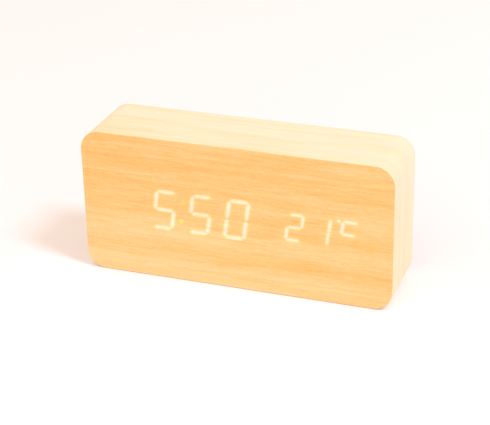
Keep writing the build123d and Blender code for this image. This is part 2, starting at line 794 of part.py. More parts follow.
with BuildPart() as battery_lead_black:
    with BuildLine() as black:
        FilletPolyline(
            (10.2, HEAD_Y, ZC - 3.0),
            (10.2, HEAD_Y, ZC - 21.6),
            (10.2, 6.0, ZC - 21.6),
            (-55.5, 6.0, ZC - 21.6),
            (-55.5, 6.0, ZC + BZ - CELL_PITCH),
            (X_L - 3.0, 6.0, ZC + BZ - CELL_PITCH),
            radius=[3.5, 3.5, 3.0, 2.4],
        )
    with BuildSketch(Plane(origin=(10.2, HEAD_Y, ZC - 3.0), x_dir=(1, 0, 0), z_dir=(0, 0, -1))):
        Circle(LEAD_R)
    sweep(path=black.wires()[0])
save(battery_lead_black, "battery_lead_black")
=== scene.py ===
import math

import bmesh
import bpy
from mathutils import Matrix, Vector


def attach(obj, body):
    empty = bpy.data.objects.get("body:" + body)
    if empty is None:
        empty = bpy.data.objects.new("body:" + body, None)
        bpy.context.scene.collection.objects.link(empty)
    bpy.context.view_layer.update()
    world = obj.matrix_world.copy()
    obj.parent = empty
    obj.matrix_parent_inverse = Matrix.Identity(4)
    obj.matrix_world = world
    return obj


# Desk clock with a light display behind a wood veneer. Metres in the scene; the
# shaders work in millimetres of the part's own frame, +Z up, display facing -Y.

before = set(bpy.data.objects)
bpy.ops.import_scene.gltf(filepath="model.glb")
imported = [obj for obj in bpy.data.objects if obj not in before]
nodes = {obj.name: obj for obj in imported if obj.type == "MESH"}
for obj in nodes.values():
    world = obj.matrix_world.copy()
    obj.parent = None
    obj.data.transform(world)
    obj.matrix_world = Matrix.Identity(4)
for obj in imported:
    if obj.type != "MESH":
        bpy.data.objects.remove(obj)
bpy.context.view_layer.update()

ZC = 35.4  # height of the middle of the block


# ------------------------------------------------------------------ shader writing
class V:
    """A shader value that can be used in sums."""

    def __init__(self, g, s):
        self.g, self.s = g, s

    def __add__(self, o):
        return self.g.math("ADD", self, o)

    __radd__ = __add__

    def __sub__(self, o):
        return self.g.math("SUBTRACT", self, o)

    def __rsub__(self, o):
        return self.g.math("SUBTRACT", o, self)

    def __mul__(self, o):
        return self.g.math("MULTIPLY", self, o)

    __rmul__ = __mul__

    def __truediv__(self, o):
        return self.g.math("DIVIDE", self, o)

    def __abs__(self):
        return self.g.math("ABSOLUTE", self)


class Mat:
    def __init__(self, name, **flat):
        self.m = bpy.data.materials.new(name)
        self.m.use_nodes = True
        self.t = self.m.node_tree
        self.t.nodes.clear()
        out = self.t.nodes.new("ShaderNodeOutputMaterial")
        self.b = self.t.nodes.new("ShaderNodeBsdfPrincipled")
        self.t.links.new(self.b.outputs["BSDF"], out.inputs["Surface"])
        coords = self.t.nodes.new("ShaderNodeTexCoord")
        scale = self.t.nodes.new("ShaderNodeVectorMath")
        scale.operation = "SCALE"
        scale.inputs["Scale"].default_value = 1000.0
        self.t.links.new(coords.outputs["Object"], scale.inputs[0])
        sep = self.t.nodes.new("ShaderNodeSeparateXYZ")
        self.t.links.new(scale.outputs[0], sep.inputs[0])
        self.x, self.y, self.z = (V(self, s) for s in sep.outputs)
        for k, v in flat.items():
            self.put(k, v)

    def put(self, name, value):
        """A socket of the shader, by its name with _ for a space."""
        self.feed(self.b.inputs[name.replace("_", " ")], value)

    def feed(self, socket, value):
        if isinstance(value, V):
            self.t.links.new(value.s, socket)
        elif isinstance(value, tuple) and len(value) == 3 and socket.type == "RGBA":
            socket.default_value = (*value, 1.0)
        else:
            socket.default_value = value

    def node(self, kind, **props):
        n = self.t.nodes.new(kind)
        for k, v in props.items():
            setattr(n, k, v)
        return n

    def math(self, op, a, b=None, c=None, clamp=False):
        n = self.node("ShaderNodeMath", operation=op, use_clamp=clamp)
        for i, v in enumerate((a, b, c)):
            if v is not None:
                self.feed(n.inputs[i], v)
        return V(self, n.outputs[0])

    def low(self, a, b):
        return self.math("MINIMUM", a, b)

    def high(self, a, b):
        return self.math("MAXIMUM", a, b)

    def step(self, a, lo, hi, out_lo=0.0, out_hi=1.0, smooth=True):
        n = self.node("ShaderNodeMapRange")
        n.interpolation_type = "SMOOTHSTEP" if smooth else "LINEAR"
        for i, v in enumerate((a, lo, hi, out_lo, out_hi)):
            self.feed(n.inputs[i], v)
        return V(self, n.outputs[0])

    def vec(self, a, b, c):
        n = self.node("ShaderNodeCombineXYZ")
        for i, v in enumerate((a, b, c)):
            self.feed(n.inputs[i], v)
        return V(self, n.outputs[0])

    def noise(self, a, b, c, detail=2.0, rough=0.5, bend=0.0):
        """Noise over three values that are already scaled."""
        n = self.node("ShaderNodeTexNoise")
        self.feed(n.inputs["Vector"], self.vec(a, b, c))
        self.feed(n.inputs["Scale"], 1.0)
        self.feed(n.inputs["Detail"], detail)
        self.feed(n.inputs["Roughness"], rough)
        self.feed(n.inputs["Distortion"], bend)
        return V(self, n.outputs[0])

    def even(self, size, detail=2.0, rough=0.5, shift=0.0):
        """The same noise in all directions, with grains of about this size in mm."""
        k = 1.0 / size
        return self.noise(self.x * k + shift, self.y * k + shift, self.z * k, detail, rough)

    def cells(self, size, feature="F1", output="Distance", shift=0.0):
        k = 1.0 / size
        n = self.node("ShaderNodeTexVoronoi", feature=feature)
        self.feed(n.inputs["Vector"], self.vec(self.x * k + shift, self.y * k, self.z * k))
        self.feed(n.inputs["Scale"], 1.0)
        return V(self, n.outputs[output])

    def mix(self, fac, a, b, blend="MIX"):
        n = self.node("ShaderNodeMix", data_type="RGBA", blend_type=blend)
        self.feed(n.inputs[0], fac)
        self.feed(n.inputs[6], a)
        self.feed(n.inputs[7], b)
        return V(self, n.outputs[2])

    def ramp(self, fac, stops, how="LINEAR"):
        n = self.node("ShaderNodeValToRGB")
        r = n.color_ramp
        r.interpolation = how
        while len(r.elements) < len(stops):
            r.elements.new(0.5)
        for e, (pos, col) in zip(r.elements, stops):
            e.position = pos
            e.color = (*col, 1.0) if isinstance(col, tuple) else (col, col, col, 1.0)
        self.feed(n.inputs[0], fac)
        return V(self, n.outputs[0])

    def bump(self, height, depth, strength=1.0):
        """Relief of this depth in mm."""
        n = self.node("ShaderNodeBump")
        n.inputs["Strength"].default_value = strength
        n.inputs["Distance"].default_value = depth * 0.001
        self.feed(n.inputs["Height"], height)
        self.t.links.new(n.outputs[0], self.b.inputs["Normal"])


def dress(mat, *names):
    for n in names:
        o = nodes[n] if isinstance(n, str) else n
        o.data.materials.clear()
        o.data.materials.append(mat.m)
        for p in o.data.polygons:
            p.material_index = 0


# ------------------------------------------------------------------ lit figures
SLANT, GAP = 0.15, 0.35
BIG = dict(hw=4.67, hh=9.28, t=1.9)
SMALL = dict(hw=3.35, hh=6.37, t=1.5)
Z_BIG, Z_SMALL = 0.08, 0.25  # heights of the figures' middles
FIGURES = {
    "hour_tens": (-52.0, BIG, ""),
    "hour": (-34.2, BIG, "afgcd"),
    "minute_tens": (-16.45, BIG, "afgcd"),
    "minute": (1.33, BIG, "abcdef"),
    "temperature_tens": (29.1, SMALL, "abged"),
    "temperature": (41.85, SMALL, "bc"),
    "unit": (54.4, SMALL, "afg"),
}
COLON = [(-24.7, 5.0), (-26.0, -4.5)]
COLON_R = 0.9
DEGREE, DEGREE_R = (49.9, 6.6), 0.75


def strokes(g, v, key, gap=GAP, pick="abcdefg", free=None):
    """Distance in mm from the lit strokes of one figure, below 0 inside; v is the height from the middle.

    A level stroke's end stays back from the corner by gap, or by free where it meets no lit upright."""
    x0, size, lit = FIGURES[key]
    hw, hh, t = size["hw"], size["hh"], size["t"]
    w = v - (Z_BIG if size is BIG else Z_SMALL)
    u = g.x - x0 - w * SLANT
    upright = hh / 2 - gap
    meets = {"a": ("f", "b"), "g": ("ef", "bc"), "d": ("e", "c")}
    place = {
        "a": (0, hh), "g": (0, 0), "d": (0, -hh),
        "f": (-hw, hh / 2), "b": (hw, hh / 2), "e": (-hw, -hh / 2), "c": (hw, -hh / 2),
    }
    us, ws, best = {}, {}, None
    for s in lit:
        if s not in pick:
            continue
        pu, pw = place[s]
        if s in meets:
            left, right = (gap if free is None or set(m) & set(lit) else free for m in meets[s])
            pu, across = (left - right) / 2, hw - (left + right) / 2
        if pu not in us:
            us[pu] = abs(u - pu)
        if pw not in ws:
            ws[pw] = abs(w - pw)
        du, dw = us[pu], ws[pw]
        if s in meets:
            d = g.math("SMOOTH_MAX", dw - t / 2, (du + dw - across) * 0.707, 0.35)
        else:
            d = g.math("SMOOTH_MAX", du - t / 2, (du + dw - upright) * 0.707, 0.35)
        best = d if best is None else g.low(best, d)
    return best


def dots(g, v, places, r):
    best = None
    for cx, cz in places:
        n = g.node("ShaderNodeVectorMath", operation="LENGTH")
        g.feed(n.inputs[0], g.vec(g.x - cx, v - cz, 0.0))
        d = V(g, n.outputs["Value"]) - r
        best = d if best is None else g.low(best, d)
    return best


# ------------------------------------------------------------------ wood
def front_wood():
    """Level-grained veneer, thin enough for the figures to shine through."""
    g = Mat("front_wood", Specular_IOR_Level=0.3)
    x, v = g.x, g.z - ZC
    wave = (g.noise(x * 0.011, 3.1, v * 0.03, 1) - 0.5) * 3.4
    wave = wave + (g.noise(x * 0.05, 7.7, v * 0.14, 1) - 0.5) * 0.55
    a = v + wave
    # broad bands of darker and paler wood, from the bottom up
    band = g.ramp(
        (a + 35.2) / 70.4,
        [
            (0.0, 0.02), (0.12, 0.0), (0.165, 0.55), (0.21, 0.70), (0.25, 0.60), (0.30, 0.22), (0.37, 0.18),
            (0.44, 0.66), (0.50, 0.68), (0.60, 0.48), (0.76, 0.60), (0.825, 0.88), (0.87, 0.50), (0.92, 0.68),
            (1.0, 0.50),
        ],
        "B_SPLINE",
    )
    s1 = g.noise(x * 0.022, 1.3, a * 0.42, 1) - 0.5
    s2 = g.noise(x * 0.065, 5.2, a * 1.2, 2) - 0.5
    s3 = g.noise(x * 0.40, 9.4, a * 3.7, 2) - 0.5
    line = g.step(g.noise(x * 0.026, 13.6, a * 1.1, 1), 0.60, 0.74)
    fleck = g.step(g.noise(x * 0.24, 17.9, a * 2.4, 1), 0.66, 0.76)
    dark = band * 0.50 + s1 * 0.64 + s2 * 0.62 + s3 * 0.78 + line * 0.15 + fleck * 0.15 + 0.19
    dark = dark + x * g.step(v, -6.0, 6.0, 0.0010, -0.0007)
    dark = dark - g.step(v, -8.0, -16.0, 0.0, 0.03)
    colour = g.ramp(
        dark,
        [
            (0.0, (0.89, 0.675, 0.318)),
            (0.35, (0.88, 0.606, 0.240)),
            (0.65, (0.86, 0.528, 0.165)),
            (1.0, (0.79, 0.435, 0.103)),
        ],
    )
    # cut edge of the sheet
    edge = g.step(g.y, -18.5, -18.35)
    colour = g.mix(edge, colour, (0.84, 0.55, 0.22))
    level = upright = None
    # how far a stroke's pointed ends stay back from the corners, in the large and the small figures
    back = {"agd": (0.28, 0.14), "bcef": (0.24, 0.06)}
    free = (0.62, 0.34)
    for key, (_, size, lit) in FIGURES.items():
        for pick in ("agd", "bcef"):
            if not set(pick) & set(lit):
                continue
            small = size is SMALL
            d = strokes(g, v, key, back[pick][small], pick, free[small])
            if pick == "agd":
                level = d if level is None else g.low(level, d)
            else:
                upright = d if upright is None else g.low(upright, d)
    near = g.low(g.low(level, upright), dots(g, v, [DEGREE], DEGREE_R))
    lower = g.step(dots(g, v, COLON[1:], 0.85), -0.6, 0.9, 1.0, 0.0)
    upper = g.step(dots(g, v, COLON[:1], 0.85), -0.8, 1.0, 0.62, 0.0)
    core = g.step(near, -0.75, 0.55, 0.89, 0.0)
    # the uprights cross the grain and show a little brighter
    core = g.high(core, g.step(upright, -0.75, 0.55, 1.11, 0.0)) * g.step(x, 18.0, 24.0, 1.0, 1.12)
    halo = g.math("POWER", 2.718, g.high(near, 0.0) * -1.9) * g.high(1.0 - core, 0.0)
    yellow = g.high(lower, upper)
    front = 1.0 - edge
    core, halo, yellow = core * front, halo * front, yellow * front
    # painted light: the lit colon dots are also painted yellow into the base colour, besides their glow below
    colour = g.mix(yellow * 0.75, colour, (0.92, 0.76, 0.12))
    grain = 1.0 - (s2 + s3) * 0.2
    light = g.mix(core * grain, (0.0, 0.0, 0.0), (0.27, 0.258, 0.395))
    light = g.mix(1.0, light, g.mix(halo, (0.0, 0.0, 0.0), (0.08, 0.098, 0.0)), "ADD")
    light = g.mix(1.0, light, g.mix(yellow, (0.0, 0.0, 0.0), (0.08, 0.07, 0.0)), "ADD")
    g.put("Base_Color", colour)
    g.put("Emission_Color", light)
    g.put("Emission_Strength", 1.0)
    g.put("Roughness", g.step(s3 + s2, -0.4, 0.4, 0.46, 0.62, False))
    g.bump(s3 * 0.6 + s2 * 0.3 - fleck * 0.3 - line * 0.15, 0.03, 0.6)
    return g


def pale_wood(name, wrapped, tone=0.0):
    """Cream veneer; the grain runs round the block on the wrapped sheet and level on the rear one."""
    g = Mat(name, Specular_IOR_Level=0.3)
    x, y, z = g.x, g.y, g.z - ZC
    across, other = (y, z) if wrapped else (z, y)

    def n(along, over, shift, detail):
        return g.noise(x * along, across * over + shift, other * along, detail) - 0.5

    across = across + n(0.012, 0.06, 0.0, 1) * 3.2
    s1 = n(0.018, 0.30, 2.0, 1)
    s2 = n(0.05, 1.1, 5.0, 2)
    s3 = n(0.16, 3.2, 9.0, 2)
    line = g.step(n(0.05, 1.6, 13.0, 1), 0.12, 0.24)
    fleck = g.step(n(0.30, 2.2, 21.0, 1), 0.17, 0.27)
    end = g.step(abs(x), 66.0, 74.5)
    # painted shade: the sheet is darker towards the front left of the top, darker low on the ends and paler at the top
    # of the ends, and a little darker towards the left overall
    left = g.step(x, 6.0, 40.0, 0.17, 0.0) * g.step(y, -12.0, 4.0, 1.0, 0.0)
    left = left + g.step(x, -64.0, -26.0, 0.13, 0.0) * g.step(y, -4.0, 9.0, 1.0, 0.0)
    ends = end * (0.17 - g.step(z, 6.0, 26.0, 0.0, 0.14)) + left * (1.0 - end) - x * 0.0003
    # painted shade makes the upper right corner a little darker, and painted light makes the rear of the right end
    # paler
    right = g.step(x, 63.0, 71.0)
    ends = ends + right * g.step(z, 20.0, 30.0, 0.0, 0.09) - right * g.step(y, 2.0, 16.0, 0.0, 0.08)
    streaks = s1 * 0.85 + s2 * 0.42 + s3 * 0.34 + line * 0.12 + fleck * 0.10
    dark = streaks * (1.0 - end * 0.35) + ends + 0.39 + tone
    colour = g.ramp(
        dark,
        [
            (0.0, (0.90, 0.835, 0.645)),
            (0.4, (0.89, 0.80, 0.56)),
            (0.7, (0.88, 0.745, 0.455)),
            (1.0, (0.83, 0.655, 0.335)),
        ],
    )
    # a painted tint of the shade on the ends: they are multiplied a little pinker than the top
    colour = g.mix(end, colour, g.mix(1.0, colour, (1.0, 0.965, 0.995), "MULTIPLY"))
    g.put("Base_Color", colour)
    g.put("Roughness", g.step(s3 + s2, -0.4, 0.4, 0.48, 0.62, False))
    g.bump(s3 * 0.6 + s2 * 0.3 - line * 0.2 - fleck * 0.2, 0.03, 0.6)
    return g


dress(front_wood(), "front_veneer")
dress(pale_wood("wrapped_wood", True), "wrap_veneer")
dress(pale_wood("rear_wood", False, 0.05), "rear_veneer")


# ------------------------------------------------------------------ the other finishes
def fibreboard():
    g = Mat("fibreboard", Specular_IOR_Level=0.15, Roughness=0.88)
    fine = g.even(0.30, 3, 0.65)
    chips = g.cells(0.9, output="Color")
    patch = g.even(6.0, 2, 0.5, 4.0)
    t = fine * 0.6 + patch * 0.4 + (chips - 0.5) * 0.12
    g.put(
        "Base_Color",
        g.ramp(t, [(0.28, (0.27, 0.165, 0.085)), (0.5, (0.42, 0.285, 0.165)), (0.72, (0.56, 0.41, 0.26))]),
    )
    g.bump(fine + chips * 0.3, 0.06, 0.8)
    return g


def plastic(name, base, rough=0.5, grain=0.35, depth=0.02, vary=0.12, level=0.4):
    """Moulded plastic with a fine eroded texture and faint handling marks."""
    g = Mat(name, Specular_IOR_Level=level)
    fine = g.even(grain, 2, 0.6)
    pits = g.cells(grain * 1.4)
    blot = g.even(9.0, 3, 0.55, 6.0)
    rub = g.noise(g.x * 0.5, g.y * 0.5 + 3.0, g.z * 2.6, 3, 0.6)
    lo = tuple(c * (1 - vary) for c in base)
    hi = tuple(min(1.0, c * (1 + vary) + 0.004) for c in base)
    g.put("Base_Color", g.mix(g.step(blot * 0.6 + fine * 0.4, 0.38, 0.62, smooth=False), lo, hi))
    g.put("Roughness", g.step(blot * 0.5 + rub * 0.5, 0.35, 0.65, rough - 0.07, rough + 0.07, False))
    g.bump(fine * 0.6 + pits * 0.4, depth, 0.8)
    return g


def metal(name, base, rough=0.3, along=(0.4, 6.0, 6.0), stain=(0.55, 0.50, 0.42), amount=0.25):
    """Plated or drawn metal with fine draw marks and dull patches."""
    g = Mat(name, Metallic=1.0)
    marks = g.noise(g.x * along[0], g.y * along[1], g.z * along[2], 3, 0.6)
    dull = g.even(2.2, 3, 0.6, 2.0)
    g.put("Base_Color", g.mix(g.step(dull, 0.45, 0.75, 0.0, amount), base, stain))
    g.put("Roughness", g.step(marks * 0.6 + dull * 0.4, 0.35, 0.65, rough - 0.08, rough + 0.14, False))
    g.bump(marks, 0.006, 0.5)
    return g


def split(name, base_a, base_b, mask_of, rough=(0.5, 0.3), metallic=(0.0, 1.0), grain=0.4, depth=0.01):
    """Two finishes on one piece: b where mask_of(g) is 1."""
    g = Mat(name, Specular_IOR_Level=0.4)
    m = mask_of(g)
    fine = g.even(grain, 3, 0.6)
    blot = g.even(4.0, 2, 0.5, 3.0)
    vary = g.step(fine * 0.5 + blot * 0.5, 0.35, 0.65, 0.0, 1.0, False)
    a = g.mix(vary, tuple(c * 0.88 for c in base_a), tuple(min(1, c * 1.1 + 0.003) for c in base_a))
    b = g.mix(vary, tuple(c * 0.88 for c in base_b), tuple(min(1, c * 1.08) for c in base_b))
    g.put("Base_Color", g.mix(m, a, b))
    g.put("Metallic", m * (metallic[1] - metallic[0]) + metallic[0])
    g.put("Roughness", m * (rough[1] - rough[0]) + rough[0] + (fine - 0.5) * 0.2)
    g.bump(fine, depth, 0.7)
    return g


def box_at(g, cx, cz, w, h):
    """Distance in mm from an upright rectangle about a point of the face, below 0 inside."""
    return g.high(abs(g.x - cx) - w / 2, abs(g.z - ZC - cz) - h / 2)


def round_at(g, cx, cz, r):
    return dots(g, g.z - ZC, [(cx, cz)], r)


def inside(g, d, soft=0.05):
    return g.step(d, -soft, soft, 1.0, 0.0)


def outline(g, d, w=0.09):
    return g.step(abs(d), w, w + 0.05, 1.0, 0.0)


def board(name, y0, y1, rear, front, pads):
    """Circuit board: solder mask over copper tracks, bare pads, white outlines on each face, glass-fibre edge."""
    g = Mat(name, Specular_IOR_Level=0.5)
    v = g.z - ZC
    y_mid, y_half = (y0 + y1) / 2, (y1 - y0) / 2
    rim = g.step(abs(g.y - y_mid), y_half - 0.06, y_half - 0.02, 1.0, 0.0)
    weave = g.math("SINE", g.x * 9.0) * g.math("SINE", v * 9.0)
    # bundles of tracks, level in some places and upright in others
    area = g.math("ROUND", g.noise(g.x * 0.09, 4.0, v * 0.09, 0) * 2.6 - 0.35)
    level = g.step(abs(g.math("FRACT", v / 0.84 + 50.0) - 0.5), 0.20, 0.26, 1.0, 0.0)
    upright = g.step(abs(g.math("FRACT", g.x / 0.84 + 50.0) - 0.5), 0.20, 0.26, 1.0, 0.0)
    way = g.math("COMPARE", area, 1.0, 0.1)
    tracks = level * way + upright * (1.0 - way)
    tracks = tracks * g.step(g.noise(g.x * 0.16, 9.0, v * 0.16, 1), 0.44, 0.47)
    tone = g.even(7.0, 2, 0.5, 1.0)
    mask = g.mix(tracks, (0.012, 0.115, 0.045), (0.03, 0.20, 0.085))
    mask = g.mix(g.step(tone, 0.35, 0.65, 0.0, 0.35), mask, (0.008, 0.085, 0.035))
    via = g.step(g.cells(3.1, shift=2.0), 0.085, 0.11, 1.0, 0.0)
    tin = g.low(via * tracks, 1.0)
    for d in pads(g):
        tin = g.high(tin, inside(g, d))
    behind = g.step(g.y, y_mid - 0.1, y_mid + 0.1)
    ink = None
    for outlines, face in ((rear, behind), (front, 1.0 - behind)):
        for d in outlines(g):
            o = outline(g, d) * face
            ink = o if ink is None else g.high(ink, o)
    ink = ink * (1.0 - tin)
    colour = g.mix(ink, mask, (0.80, 0.80, 0.76))
    colour = g.mix(tin, colour, (0.70, 0.68, 0.62))
    glass = g.mix(g.step(weave, -0.5, 0.5), (0.36, 0.33, 0.16), (0.46, 0.42, 0.22))
    g.put("Base_Color", g.mix(rim, colour, glass))
    g.put("Metallic", tin * (1.0 - rim))
    g.put("Roughness", 0.34 + rim * 0.4 + (tone - 0.5) * 0.2)
    g.bump(tracks * 0.6 + tin * 0.4 + ink * 0.3, 0.03, 0.7)
    return g


def wire(name, base, rough=0.42, stripe=None):
    """Extruded insulation, faintly uneven."""
    g = Mat(name, Specular_IOR_Level=0.45)
    n = g.even(0.6, 3, 0.55)
    far = g.even(5.0, 2, 0.5, 5.0)
    colour = g.mix(g.step(n * 0.4 + far * 0.6, 0.35, 0.65), tuple(c * 0.85 for c in base), tuple(min(1, c * 1.12 + 0.002) for c in base))
    if stripe:
        colour = g.mix(stripe[0](g), colour, stripe[1])
    g.put("Base_Color", colour)
    g.put("Roughness", g.step(far, 0.3, 0.7, rough - 0.06, rough + 0.08, False))
    g.bump(n, 0.012, 0.6)
    return g


def window(key):
    """Milky window block of one figure; its lit strokes glow."""
    g = Mat("window_" + key, Specular_IOR_Level=0.45, Roughness=0.35)
    n = g.even(0.7, 2, 0.5)
    g.put("Base_Color", g.mix(n, (0.80, 0.79, 0.73), (0.90, 0.89, 0.84)))
    lit = FIGURES[key][2] if key in FIGURES else "dots"
    if lit == "dots":
        g.put("Emission_Color", g.mix(n, (0.95, 0.78, 0.42), (1.0, 0.86, 0.52)))
        g.put("Emission_Strength", 1.6)
    elif lit:
        on = g.step(strokes(g, g.z - ZC, key), 0.02, 0.12, 1.0, 0.0)
        g.put("Emission_Color", g.mix(on, (0.0, 0.0, 0.0), g.mix(n, (0.98, 0.84, 0.56), (1.0, 0.90, 0.66))))
        g.put("Emission_Strength", 1.6)
    g.bump(n, 0.01, 0.5)
    return g


dress(fibreboard(), "case_core")
dress(plastic("moulded_back", (0.016, 0.016, 0.017), 0.48, 0.42, 0.065, 0.22), "back_cover")
dress(plastic("moulded_door", (0.017, 0.017, 0.018), 0.46, 0.42, 0.065, 0.22), "battery_door")
dress(plastic("socket_black", (0.014, 0.014, 0.015), 0.36, 0.6, 0.010), "dc_jack")
dress(plastic("reflector_white", (0.84, 0.84, 0.81), 0.42, 0.5, 0.012, 0.03), "segment_reflector")
dress(plastic("film_white", (0.86, 0.86, 0.85), 0.38, 0.25, 0.006, 0.02), "diffuser_film")
dress(plastic("nylon", (0.76, 0.70, 0.56), 0.45, 0.6, 0.012, 0.05), "battery_header", "display_header", "control_header")
dress(plastic("plunger_white", (0.80, 0.80, 0.78), 0.35, 0.4, 0.006, 0.04), "set_plunger", "up_plunger", "down_plunger")


def pad_gel():
    g = Mat("pad_gel", Specular_IOR_Level=0.5)
    n = g.even(0.8, 3, 0.6)
    dust = g.step(g.cells(0.5), 0.10, 0.16, 1.0, 0.0)
    colour = g.mix(n, (0.60, 0.60, 0.57), (0.74, 0.74, 0.71))
    g.put("Base_Color", g.mix(dust * 0.5, colour, (0.40, 0.37, 0.33)))
    g.put("Roughness", g.step(n, 0.3, 0.7, 0.28, 0.46, False))
    g.bump(n, 0.02, 0.6)
    return g


dress(pad_gel(), "foot_pads")


def key_black():
    g = plastic("key_black", (0.016, 0.016, 0.017), 0.42, 0.30, 0.014, 0.15)
    # the raised mark is printed pale grey
    mark = g.step(g.y, 18.27, 18.33)
    body = g.b.inputs["Base Color"].links[0].from_socket
    g.put("Base_Color", g.mix(mark, V(g, body), (0.62, 0.62, 0.60)))
    return g


dress(key_black(), "set_button", "up_button", "down_button")
for key in FIGURES:
    dress(window(key), key + "_segments")
dress(window("colon"), "colon_dots")
dress(window("degree"), "degree_dot")

PCB_R, PCB_F = -8.1, -9.7
CB_F, CB_R = 7.4, 8.6
PCB_SX, PCB_SZ = 64.9, 16.1
dress(
    board(
        "display_board",
        PCB_F,
        PCB_R,
        lambda g: [
            box_at(g, -42.0, 0.0, 11.0, 11.0), round_at(g, -46.6, 5.9, 0.25), box_at(g, -12.0, -5.0, 20.0, 12.0),
            round_at(g, 16.0, 11.5, 3.6), round_at(g, 25.0, 11.5, 3.6), round_at(g, -4.0, 11.0, 3.0),
            box_at(g, -27.0, 8.0, 12.4, 6.0), box_at(g, 9.0, 0.0, 8.0, 7.6), box_at(g, 35.0, 0.0, 7.6, 12.0),
            box_at(g, -12.0, -14.5, 26.0, 3.6),
        ],
        lambda g: [box_at(g, 0.0, 0.0, 125.6, 28.6)],
        lambda g: [round_at(g, sx, sz, 2.3) for sx in (-PCB_SX, PCB_SX) for sz in (-PCB_SZ, PCB_SZ)],
    ),
    "display_pcb",
)
KEYS = {"set": 48.0, "up": 33.0, "down": 18.0}
STANDOFFS = [(25.5, 13.0), (40.5, 13.0), (37.0, -17.0)]
LEGS = (
    [(kx + dx, 13.0 + dz) for kx in KEYS.values() for dx in (-3.6, 3.6) for dz in (-2.25, 2.25)]
    + [(48.0, -18.2), (44.0, -13.0), (48.0, -8.0), (23.5, -12.0), (28.5, -12.0), (36.7, -1.0), (39.3, -1.0), (51.2, 0.0), (52.8, 0.0)]
)
dress(
    board(
        "control_board",
        CB_F,
        CB_R,
        lambda g: [box_at(g, kx, 13.0, 6.6, 6.6) for kx in KEYS.values()]
        + [box_at(g, 48.0, -13.0, 9.2, 9.2), round_at(g, 26.0, -12.0, 4.8), round_at(g, 38.0, -1.0, 3.3),
           box_at(g, 52.0, 0.0, 4.4, 2.4)],
        lambda g: [box_at(g, 35.0, 0.0, 7.6, 12.0)],
        lambda g: [round_at(g, a, b, 1.0) for a, b in LEGS] + [round_at(g, a, b, 2.4) for a, b in STANDOFFS],
    ),
    "control_pcb",
)

tinned = (0.70, 0.69, 0.66)
dress(
    split("controller_chip", (0.018, 0.018, 0.019), tinned, lambda g: 1.0 - inside(g, box_at(g, -42.0, 0.0, 7.02, 7.02), 0.02), (0.55, 0.28)),
    "microcontroller",
)
dress(
    split("driver_chip", (0.018, 0.018, 0.019), tinned, lambda g: 1.0 - inside(g, box_at(g, -12.0, -5.0, 17.82, 7.52), 0.02), (0.55, 0.28)),
    "led_driver",
)


def resistor_ends(g):
    v = g.z - ZC
    low = g.step(abs(v + 14.5), 0.62, 0.66) * g.step(g.x, -40.0, -39.9)
    side = g.step(abs(g.x + 50.5), 0.62, 0.66) * g.step(g.x, -40.0, -39.9, 1.0, 0.0)
    return low + side


dress(split("resistor", (0.02, 0.02, 0.02), tinned, resistor_ends, (0.5, 0.3)), "chip_resistors")
dress(metal("crystal_can", (0.74, 0.73, 0.70), 0.26, (5.0, 0.5, 5.0)), "crystal")


def capacitor():
    g = Mat("capacitor_sleeve", Specular_IOR_Level=0.5)
    # rounded can end with its scored cross; pale stripe down the sleeve on one side
    end = g.step(g.y, -1.38, -1.30)
    low = inside(g, round_at(g, -4.0, 11.0, 2.7)) * g.step(g.y, -2.98, -2.90)
    end = g.high(end, low)
    tops = None
    stripe = None
    for cx, cz, r in ((16.0, 11.5, 3.3), (25.0, 11.5, 3.3), (-4.0, 11.0, 2.6)):
        d = inside(g, round_at(g, cx, cz, r - 0.55))
        cross = g.low(abs(g.x - cx), abs(g.z - ZC - cz))
        scored = g.step(cross, 0.08, 0.14, 1.0, 0.0) * inside(g, round_at(g, cx, cz, r * 0.62))
        tops = (d, scored) if tops is None else (g.high(tops[0], d), g.high(tops[1], scored))
        s = g.step(g.x - cx, -r * 0.72, -r * 0.66, 1.0, 0.0) * g.step(abs(g.x - cx), r + 0.3, r + 0.4, 1.0, 0.0)
        stripe = s if stripe is None else g.high(stripe, s)
    metal_part = end * tops[0]
    n = g.even(0.7, 3, 0.6)
    sleeve = g.mix(n, (0.010, 0.014, 0.045), (0.018, 0.024, 0.07))
    sleeve = g.mix(stripe * (1.0 - metal_part), sleeve, (0.55, 0.56, 0.58))
    can = g.mix(tops[1], (0.72, 0.72, 0.72), (0.28, 0.28, 0.28))
    g.put("Base_Color", g.mix(metal_part, sleeve, can))
    g.put("Metallic", metal_part)
    g.put("Roughness", 0.34 + (n - 0.5) * 0.2)
    g.bump(n * 0.3 - tops[1] * metal_part, 0.03, 0.7)
    return g


dress(capacitor(), "capacitors")
dress(
    wire(
        "ribbon_grey",
        (0.34, 0.34, 0.36),
        stripe=(lambda g: g.step(g.z - ZC, -2.45, -2.35, 1.0, 0.0), (0.50, 0.035, 0.03)),
    ),
    "control_cable",
)
dress(wire("wire_red", (0.52, 0.030, 0.024)), "battery_lead_red")
dress(wire("wire_black", (0.014, 0.014, 0.014)), "battery_lead_black")
dress(split("switch_metal", (0.016, 0.016, 0.017), (0.66, 0.65, 0.62), lambda g: g.step(g.y, 11.70, 11.76), (0.48, 0.30)), "switch_bodies")
dress(metal("pin_plated", (0.80, 0.66, 0.36), 0.22, (3.0, 0.4, 3.0), (0.70, 0.60, 0.45)), "dc_jack_pin")
dress(plastic("buzzer_black", (0.016, 0.016, 0.016), 0.34, 0.7, 0.010), "buzzer")
dress(
    split("microphone_can", (0.72, 0.72, 0.72), (0.012, 0.012, 0.012), lambda g: inside(g, round_at(g, 38.0, -1.0, 1.12)) * g.step(g.y, 11.25, 11.29, 1.0, 0.0), (0.32, 0.9), (1.0, 0.0)),
    "microphone",
)
dress(split("thermistor_bead", tinned, (0.02, 0.02, 0.024), lambda g: g.step(g.y, 11.70, 11.85), (0.3, 0.28), (1.0, 0.0)), "thermistor")
dress(metal("zinc_screw", (0.74, 0.73, 0.71), 0.30, (4.0, 1.0, 4.0), (0.60, 0.55, 0.42)), "pcb_screws", "control_pcb_screws")
dress(metal("nickel_strip", (0.76, 0.74, 0.70), 0.26, (1.0, 3.0, 3.0)), "battery_contacts")
